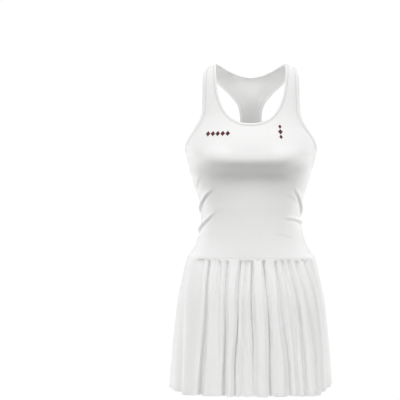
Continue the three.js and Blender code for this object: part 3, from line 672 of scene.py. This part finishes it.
def skirt_places(creases, lanes, share, seed):
    """Around[row, lane] and how far inward[row, lane] the skirt's cloth lies from its form."""
    around, depth = crease_lines(creases, share, seed)
    lean = np.array([crease[CREASE_COLUMNS.index("lean")] for crease in creases])
    before = np.clip(np.floor(lanes).astype(int), 0, len(creases) - 2)
    part = lanes - before
    left, right = depth[before].T, depth[before + 1].T
    half_width = FORM_CURVES["half_width"](down_of(WAIST_SEAM_Z) + share * (WAIST_SEAM_Z - HEM_Z))
    apart = (around[before + 1] - around[before]).T * half_width[:, None]
    crowded = np.minimum(left, right) * np.exp(-((apart / CROWDED) ** 2))
    from_left = crease_opening(part, OPENING - OPENING_LEAN * lean[before], share)
    from_right = crease_opening(1 - part, OPENING + OPENING_LEAN * lean[before + 1], share)
    inward = np.maximum(left * from_left + right * from_right, crowded)
    return around[before].T * (1 - part) + around[before + 1].T * part, inward


def puckers(lanes, below, seed):
    """The small uneven gathers beside the seam, which soon fade."""
    rng = np.random.default_rng(seed)
    count = int(round(lanes[-1])) * PUCKERS_PER_LANE
    centres = (np.arange(count) + rng.uniform(*PUCKER_PLACES, count)) / PUCKERS_PER_LANE
    depths = rng.uniform(*PUCKER_DEPTHS, count) ** 2 * PUCKER_DEPTH
    reaches = rng.uniform(*PUCKER_REACHES, count) * PUCKER_REACH
    away = (lanes[:, None] - centres) * PUCKERS_PER_LANE
    across = np.exp(-((away / PUCKER_WIDTH) ** 2)) * depths
    below = below[:, None]
    fading = np.exp(-((below / reaches) ** 2)) - np.exp(-((below / PUCKER_START) ** 2))
    return fading @ across.T


def sway(lanes, share, seed):
    """Slow uneven swells of the cloth between the creases."""
    rng = np.random.default_rng(seed)
    total = 0
    for waves in SWAY_WAVES:
        phase, climb = rng.uniform(0, 2 * math.pi), rng.uniform(*SWAY_CLIMB)
        total = total + np.sin(2 * math.pi * waves * lanes + climb * share[:, None] + phase)
    return SWAY_HEIGHT / len(SWAY_WAVES) * total * share[:, None] ** SWAY_GROWTH


def hem_rise(around):
    degrees, rise = zip(*HEM_RISE)
    return smooth_curve(degrees, rise)(np.degrees(around))


def skirt_surface(creases, lanes, down, seed):
    """Points of the skirt's cloth at rows down and columns lanes."""
    seam = float(down_of(WAIST_SEAM_Z))
    length = WAIST_SEAM_Z - HEM_Z
    below = down - seam
    share = np.clip(below / length, 0, 1)
    around, inward = skirt_places(creases, lanes, share, seed)
    ends = np.clip(np.minimum(lanes, lanes[-1] - lanes), 0, 1)
    inward = inward + puckers(lanes, np.maximum(0, below), seed) - sway(lanes, share, seed + 1) * ends
    tucked = SEAM_TUCK * np.exp(-((np.maximum(0, below + SKIRT_RISE) / SEAM_ROLL) ** 2))
    hem = HEM_STEP * np.clip((below - (length - HEM_DEPTH)) / HEM_STEP_WIDTH, 0, 1)
    inward = inward + (tucked - hem)[:, None]
    lowered = seam + below[:, None] * (1 - hem_rise(around) / length)
    normal = outward(form_point, around, lowered)
    normal[..., 2] = 0
    return form_point(around, lowered) - unit(normal) * inward[..., None]


def skirt_rows():
    seam, hem = float(down_of(WAIST_SEAM_Z)), float(down_of(HEM_Z))
    body = np.linspace(seam + ROWS_BELOW_SEAM_END, hem - ROWS_ABOVE_HEM_END, SKIRT_STEPS)
    return np.concatenate([seam + np.array(ROWS_BELOW_SEAM), body, hem - np.array(ROWS_ABOVE_HEM)])


def skirt_lanes(creases):
    """Columns that are closer together beside each crease."""
    step = np.arange(LANE_STEPS) / LANE_STEPS
    eased = step - LANE_EASE * np.sin(2 * math.pi * step)
    lanes = (np.arange(len(creases) - 1)[:, None] + eased[None, :]).reshape(-1)
    return np.append(lanes, len(creases) - 1)


def skirt_panel(name, creases, seed):
    lanes, down = skirt_lanes(creases), skirt_rows()
    point = skirt_surface(creases, lanes, down, seed)[::-1]
    uv = np.stack([arc_lengths(point, 1), arc_lengths(point, 0)], -1)
    sheet = cloth_grid(name, point, uv)
    return thicken(sheet, SKIRT_CLOTH)


# Stitches
def one_stitch():
    """A single stitch, lying along X: a short thread with rounded ends."""
    bpy.ops.mesh.primitive_cylinder_add(
        vertices=STITCH_SIDES, radius=0.5, depth=1, rotation=(0, QUARTER, 0)
    )
    stitch = bpy.context.object
    bpy.ops.object.transform_apply(location=False, rotation=True, scale=False)
    bpy.ops.object.mode_set(mode="EDIT")
    bpy.ops.mesh.select_all(action="SELECT")
    bpy.ops.mesh.bevel(offset=STITCH_BEVEL, segments=1, affect="EDGES")
    bpy.ops.object.mode_set(mode="OBJECT")
    return stitch


def stitch_places(path, normal):
    """The middle of each stitch on a path, and the directions along, across and up from it."""
    travelled = np.concatenate([[0], np.cumsum(np.linalg.norm(np.diff(path, axis=0), axis=1))])
    pitch = STITCH_LENGTH + STITCH_GAP
    centres = np.arange(pitch / 2, travelled[-1], pitch)

    def at(distance, values):
        return np.stack([np.interp(distance, travelled, values[:, i]) for i in range(3)], -1)

    start, end = at(centres - STITCH_LENGTH / 2, path), at(centres + STITCH_LENGTH / 2, path)
    along = unit(end - start)
    up = at(centres, normal)
    up = unit(up - along * (up * along).sum(-1, keepdims=True))
    return (start + end) / 2, np.stack([along, np.cross(up, along), up], 1)


def stitch_row(name, path, normal, material, slot):
    """Copies of one stitch, joined, along a path on the cloth with the normals there."""
    middles, frames = stitch_places(path, normal)
    stitch = one_stitch()
    shape = np.array([v.co for v in stitch.data.vertices])
    faces = [tuple(p.vertices) for p in stitch.data.polygons]
    bpy.data.objects.remove(stitch)
    scaled = shape * np.array([STITCH_LENGTH, STITCH_THICK * STITCH_FLATNESS, STITCH_THICK])
    corners = np.einsum("vi,sij->svj", scaled, frames) + middles[:, None, :]
    row = bpy.data.meshes.new(name)
    all_faces = [tuple(v + i * len(shape) for v in face) for i in range(len(middles)) for face in faces]
    row.from_pydata((corners.reshape(-1, 3) * MM).tolist(), [], all_faces)
    row.update()
    piece = bpy.data.objects.new(name, row)
    bpy.context.scene.collection.objects.link(piece)
    select_only(piece)
    bpy.ops.object.shade_smooth()
    return finish_piece(piece, material, slot)


def binding_stitches(name, edge, width, t, sides, material):
    path, normals = [], []
    lift = BINDING_CLOTH * (1 - STITCH_PULL) / 2 + BINDING_STITCH_LIFT
    for side, steps in zip(sides, t):
        around, down = inset(edge, steps, width - STITCH_INSET)
        around = side * around
        normal = outward(bodice_point, around, down)
        path.append(bodice_point(around, down) + normal * lift)
        normals.append(normal)
    return stitch_row(name, np.concatenate(path), np.concatenate(normals), material, "binding_jersey")


def hem_stitches(name, creases, seed, above, material):
    last = len(creases) - 1
    lanes = np.linspace(HEM_ROW_END, last - HEM_ROW_END, last * HEM_ROW_STEPS)
    down = float(down_of(HEM_Z)) - above + np.array([-0.5, 0, 0.5])
    point = skirt_surface(creases, lanes, down, seed)
    middle = point[1]
    along = np.gradient(middle, axis=0)
    normal = unit(np.cross(point[2] - point[0], along))
    path = middle + normal * (SKIRT_CLOTH / 2 + HEM_STITCH_LIFT)
    return stitch_row(name, path, normal, material, "skirt_jersey")


# Embroidery
def lozenge(name, place):
    """One lozenge of satin stitches, which follows its cloth and swells towards its middle."""
    place = dict(zip(LOZENGE_COLUMNS, place))
    step = np.linspace(-1, 1, LOZENGE_STEPS + 1)
    rising, falling = np.meshgrid(step, step)
    right, up = (rising - falling) / 2, (rising + falling) / 2
    x, z = place["x"] + place["half_width"] * right, place["z"] + place["half_height"] * up
    down = down_of(z)
    around = np.arcsin(x / FORM_CURVES["half_width"](down))
    swell = EMBROIDERY_THICK / 2 * (1 - np.abs(rising)) * (1 - np.abs(falling))
    out = BODICE_CLOTH / 2 + EMBROIDERY_THICK / 4 + swell
    point = bodice_point(around, down) + outward(bodice_point, around, down) * out[..., None]
    uv = np.stack([x, z], -1)
    return cloth_grid(name, point, uv)


def embroidery(name, places, material):
    sheets = [lozenge(f"{name}_{i}", place) for i, place in enumerate(places)]
    patch = thicken(join_sheets(name, sheets), EMBROIDERY_THICK, EMBROIDERY_ROUNDING)
    return finish_piece(patch, material, "bodice_jersey")


# Materials
def add_node(tree, kind, **settings):
    node = tree.nodes.new(kind)
    for name, value in settings.items():
        setattr(node, name, value)
    return node


def math_node(tree, operation, *values):
    node = add_node(tree, "ShaderNodeMath", operation=operation)
    for socket, value in zip(node.inputs, values):
        if isinstance(value, (int, float)):
            socket.default_value = value
        else:
            tree.links.new(value, socket)
    return node.outputs[0]


def cloth_shader(name, roughness, sheen):
    material = bpy.data.materials.new(name)
    material.use_nodes = True
    shader = material.node_tree.nodes["Principled BSDF"]
    shader.inputs["Roughness"].default_value = roughness
    shader.inputs["Specular IOR Level"].default_value = CLOTH_SPECULAR
    shader.inputs["Sheen Weight"].default_value = sheen
    shader.inputs["Sheen Roughness"].default_value = SHEEN_ROUGHNESS
    return material, shader


def bands(tree, vector, direction, pitch, wobble):
    """Ridges at a pitch in millimetres, which wobble a little."""
    wave = add_node(tree, "ShaderNodeTexWave", wave_type="BANDS", bands_direction=direction)
    wave.inputs["Scale"].default_value = UNIT_WAVE / (pitch * MM)
    wave.inputs["Distortion"].default_value = wobble
    wave.inputs["Detail Scale"].default_value = WOBBLE_SCALE
    tree.links.new(vector, wave.inputs["Vector"])
    return wave.outputs["Fac"]


def raise_by(tree, shader, height, strength, distance):
    """Turns a height of 0 to 1 into relief, distance millimetres deep."""
    bump = add_node(tree, "ShaderNodeBump")
    bump.inputs["Strength"].default_value = strength
    bump.inputs["Distance"].default_value = distance * MM
    tree.links.new(height, bump.inputs["Height"])
    tree.links.new(bump.outputs[0], shader.inputs["Normal"])


def paint_shade(tree, shader, factor, colour):
    """Paints shade into the cloth's colour: from its own colour to the darkest share of it."""
    tint = add_node(tree, "ShaderNodeMix", data_type="RGBA")
    tint.inputs[6].default_value = (*colour, 1)
    tint.inputs[7].default_value = (*[c * DARKEST for c in colour], 1)
    tree.links.new(factor, tint.inputs["Factor"])
    tree.links.new(tint.outputs[2], shader.inputs["Base Color"])


def painted_seam_shade(tree, uv):
    """Painted shade in the furrow where a binding is stitched down: 1 in the furrow, and 0 away from it."""
    parts = add_node(tree, "ShaderNodeSeparateXYZ")
    tree.links.new(uv, parts.inputs[0])
    away = math_node(tree, "SUBTRACT", parts.outputs["X"], STITCH_INSET * MM)
    away = math_node(tree, "DIVIDE", away, SHADE_REACH * MM)
    squared = math_node(tree, "MULTIPLY", away, away)
    return math_node(tree, "EXPONENT", math_node(tree, "MULTIPLY", squared, -1.0))


# sewn adds painted shade along the furrow where a binding's stitches draw it in
def jersey(name, roughness, pitch, sewn=False):
    """Knitted jersey: fine columns and rows of loops, a little uneven, with a soft sheen."""
    material, shader = cloth_shader(name, roughness, JERSEY_SHEEN)
    tree = material.node_tree
    uv = add_node(tree, "ShaderNodeUVMap", uv_map="Cloth").outputs[0]
    columns = bands(tree, uv, "X", pitch, COLUMN_WOBBLE)
    rows = bands(tree, uv, "Y", pitch * ROW_SHARE, ROW_WOBBLE)
    uneven = add_node(tree, "ShaderNodeTexNoise")
    uneven.inputs["Scale"].default_value = UNEVEN_SCALE
    uneven.inputs["Detail"].default_value = UNEVEN_DETAIL
    tree.links.new(uv, uneven.inputs["Vector"])
    knit = math_node(tree, "MULTIPLY", columns, rows)
    relief = math_node(tree, "MULTIPLY_ADD", uneven.outputs["Fac"], UNEVEN_SHARE, knit)
    raise_by(tree, shader, relief, LOOP_STRENGTH, LOOP_RELIEF)
    # Painted shade in the gaps between the loops, where the knit is low, a little uneven
    gaps = math_node(tree, "MULTIPLY", math_node(tree, "SUBTRACT", 1.0, knit), uneven.outputs["Fac"])
    shade = math_node(tree, "MULTIPLY", gaps, GAP_SHADE)
    # Painted shade along the furrow of the binding's stitches
    if sewn:
        shade = math_node(tree, "MAXIMUM", shade, painted_seam_shade(tree, uv))
    paint_shade(tree, shader, shade, WHITE)
    return material


def thread(name, colour, direction, pitch, mapped):
    """Sewing thread or satin stitches: fine twisted or laid strands with a soft gloss."""
    material, shader = cloth_shader(name, THREAD_ROUGHNESS, THREAD_SHEEN)
    tree = material.node_tree
    if mapped:
        place = add_node(tree, "ShaderNodeUVMap", uv_map="Cloth").outputs[0]
    else:
        place = add_node(tree, "ShaderNodeTexCoord").outputs["Object"]
    strands = bands(tree, place, direction, pitch, STRAND_WOBBLE)
    raise_by(tree, shader, strands, STRAND_STRENGTH, STRAND_RELIEF)
    # Painted shade in bands along the strands
    paint_shade(tree, shader, strands, colour)
    return material


# Camera, lights and floor, in metres
CAMERA_PLACE, CAMERA_YAW = (0, -2.9, -0.346), math.radians(2.555)
CAMERA_LENS, CAMERA_SENSOR = 102.47, 36
FLOOR_Z, FLOOR_RADIUS, FLOOR_THICK, FLOOR_SIDES = -1.4, 1.5, 0.02, 96
FLOOR_PAINT, FLOOR_ROUGHNESS = (0.82, 0.82, 0.81), 0.8
MIDDLE, WAIST = (0, 0, -0.4), (0, 0, -0.26)
# Left and right are the picture's. The keys light the front, the side lights the outline, the waist lights
# the folds, and the inner fills the inside of the back.
LIGHT_COLUMNS = ("name", "place", "target", "size", "power", "spread")
LIGHTS = [
    ("key_left", (-3.3, -3.3, 3.2), MIDDLE, (2, 2), 149, 180),
    ("key_right", (3.3, -3.3, 3.2), MIDDLE, (2, 2), 146, 180),
    ("side_left", (-1.8, 1.1, -0.5), MIDDLE, (0.8, 2.0), 21, 180),
    ("side_right", (1.8, 1.1, -0.5), MIDDLE, (0.8, 2.0), 19, 180),
    ("waist_left", (-1.9, 0.6, -0.35), WAIST, (0.5, 0.3), 0.1, 20),
    ("waist_right", (1.9, 0.6, -0.35), WAIST, (0.5, 0.3), 0.14, 20),
    ("inner_fill_right", (0.02, -0.075, -0.172), (0.085, 0.035, -0.02), (0.06, 0.03), 0.022, 90),
    ("inner_fill_left", (-0.02, -0.075, -0.172), (-0.085, 0.035, -0.02), (0.06, 0.03), 0.022, 90),
]


def add_camera():
    bpy.ops.object.camera_add(location=CAMERA_PLACE, rotation=(QUARTER, 0, CAMERA_YAW))
    camera = bpy.context.object
    camera.data.lens = CAMERA_LENS
    camera.data.sensor_width = CAMERA_SENSOR
    bpy.context.scene.camera = camera


def add_area_light(name, place, target, size, power, spread):
    bpy.ops.object.light_add(type="AREA", location=place)
    light = bpy.context.object
    light.name = name
    light.data.shape = "RECTANGLE"
    light.data.size, light.data.size_y = size
    light.data.energy = power
    light.data.spread = math.radians(spread)
    light.visible_camera = False
    direction = np.array(target) - np.array(place)
    light.rotation_mode = "QUATERNION"
    light.rotation_quaternion = Vector(direction).to_track_quat("-Z", "Y")


def add_world(seen, overhead, level, below):
    """A plain white surround. As a light it is brightest overhead and dimmest below."""
    world = bpy.data.worlds.new("Studio")
    bpy.context.scene.world = world
    world.use_nodes = True
    tree = world.node_tree
    tree.nodes.clear()
    direction = add_node(tree, "ShaderNodeTexCoord")
    parts = add_node(tree, "ShaderNodeSeparateXYZ")
    tree.links.new(direction.outputs["Generated"], parts.inputs[0])
    height = math_node(tree, "MULTIPLY_ADD", parts.outputs["Z"], 0.5, 0.5)
    shades = add_node(tree, "ShaderNodeValToRGB")
    shades.color_ramp.interpolation = "EASE"
    shades.color_ramp.elements[0].color = (below, below, below, 1)
    shades.color_ramp.elements[1].color = (overhead, overhead, overhead, 1)
    shades.color_ramp.elements.new(0.5).color = (level, level, level, 1)
    tree.links.new(height, shades.inputs["Fac"])
    light = add_node(tree, "ShaderNodeBackground")
    tree.links.new(shades.outputs["Color"], light.inputs["Color"])
    backdrop = add_node(tree, "ShaderNodeBackground")
    backdrop.inputs["Color"].default_value = (1, 1, 1, 1)
    backdrop.inputs["Strength"].default_value = seen
    path = add_node(tree, "ShaderNodeLightPath")
    mix = add_node(tree, "ShaderNodeMixShader")
    tree.links.new(path.outputs["Is Camera Ray"], mix.inputs[0])
    tree.links.new(light.outputs[0], mix.inputs[1])
    tree.links.new(backdrop.outputs[0], mix.inputs[2])
    output = add_node(tree, "ShaderNodeOutputWorld")
    tree.links.new(mix.outputs[0], output.inputs[0])


def add_floor():
    bpy.ops.mesh.primitive_cylinder_add(
        vertices=FLOOR_SIDES, radius=FLOOR_RADIUS, depth=FLOOR_THICK, location=(0, 0, FLOOR_Z)
    )
    floor = bpy.context.object
    floor.name = "studio_floor"
    material = bpy.data.materials.new("floor_paint")
    material.use_nodes = True
    shader = material.node_tree.nodes["Principled BSDF"]
    shader.inputs["Base Color"].default_value = (*FLOOR_PAINT, 1)
    shader.inputs["Roughness"].default_value = FLOOR_ROUGHNESS
    floor.data.materials.append(material)


def add_studio():
    add_world(seen=1.02, overhead=0.62, level=0.2, below=0.0)
    for light in LIGHTS:
        add_area_light(**dict(zip(LIGHT_COLUMNS, light)))
    add_floor()
    bpy.context.scene.view_settings.view_transform = "Standard"


def make_cloth():
    """The seven pieces of cloth, by name."""
    bodice_cloth = jersey("bodice_jersey", roughness=0.7, pitch=0.9)
    binding_cloth = jersey("binding_jersey", roughness=0.66, pitch=0.8, sewn=True)
    skirt_cloth = jersey("skirt_jersey", roughness=0.74, pitch=0.9)
    front = bodice_panel("front_bodice_cloth", PANEL_FRONT, False)
    back = bodice_panel("back_bodice_cloth", PANEL_BACK, True)
    pieces = [
        finish_piece(front, bodice_cloth, "bodice_jersey", "front_bodice"),
        finish_piece(back, bodice_cloth, "bodice_jersey", "back_bodice"),
        finish_piece(neck_binding(), binding_cloth, "binding_jersey", "neck_band"),
    ]
    for name, side in (("left", 1), ("right", -1)):
        binding = armhole_binding(f"armhole_binding_{name}", side)
        pieces.append(finish_piece(binding, binding_cloth, "binding_jersey", f"armhole_band_{name}"))
    skirt_front = skirt_panel("skirt_front_cloth", FRONT_CREASES, FRONT_SEED)
    pieces.append(finish_piece(skirt_front, skirt_cloth, "skirt_jersey", "skirt_front"))
    skirt_back = skirt_panel("skirt_back_cloth", BACK_CREASES, BACK_SEED)
    pieces.append(finish_piece(skirt_back, skirt_cloth, "skirt_jersey", "skirt_back"))
    return {piece.name: piece for piece in pieces}


def sew_dress():
    """The visible stitches, by the name of the cloth that each row is on."""
    white_thread = thread("sewing_thread", THREAD_WHITE, "DIAGONAL", SEWING_STRAND, mapped=False)
    t = np.linspace(0, 2, BINDING_ROW_STEPS + 1)
    neck = binding_stitches("neck_stitches", NECK, NECK_BINDING, [t, t[::-1]], (1, -1), white_thread)
    rows = {"neck_binding": [neck]}
    for name, side in (("left", 1), ("right", -1)):
        row_name = f"armhole_stitches_{name}"
        row = binding_stitches(row_name, ARMHOLE, ARM_BINDING, [t], (side,), white_thread)
        rows[f"armhole_binding_{name}"] = [row]
    panels = (("front", FRONT_CREASES, FRONT_SEED), ("back", BACK_CREASES, BACK_SEED))
    for panel, creases, seed in panels:
        rows[f"skirt_{panel}_cloth"] = [
            hem_stitches(f"hem_stitches_{panel}_{row}", creases, seed, above, white_thread)
            for row, above in HEM_ROWS
        ]
    return rows


def make_dress():
    cloth = make_cloth()
    sew_dress()
    maroon_thread = thread("maroon_thread", MAROON, "X", SATIN_STRAND, mapped=True)
    embroidery("chest_lozenges_right", LOZENGE_ROW, maroon_thread)
    embroidery("chest_lozenges_left", LOZENGE_STACK, maroon_thread)


add_camera()
add_studio()
make_dress()
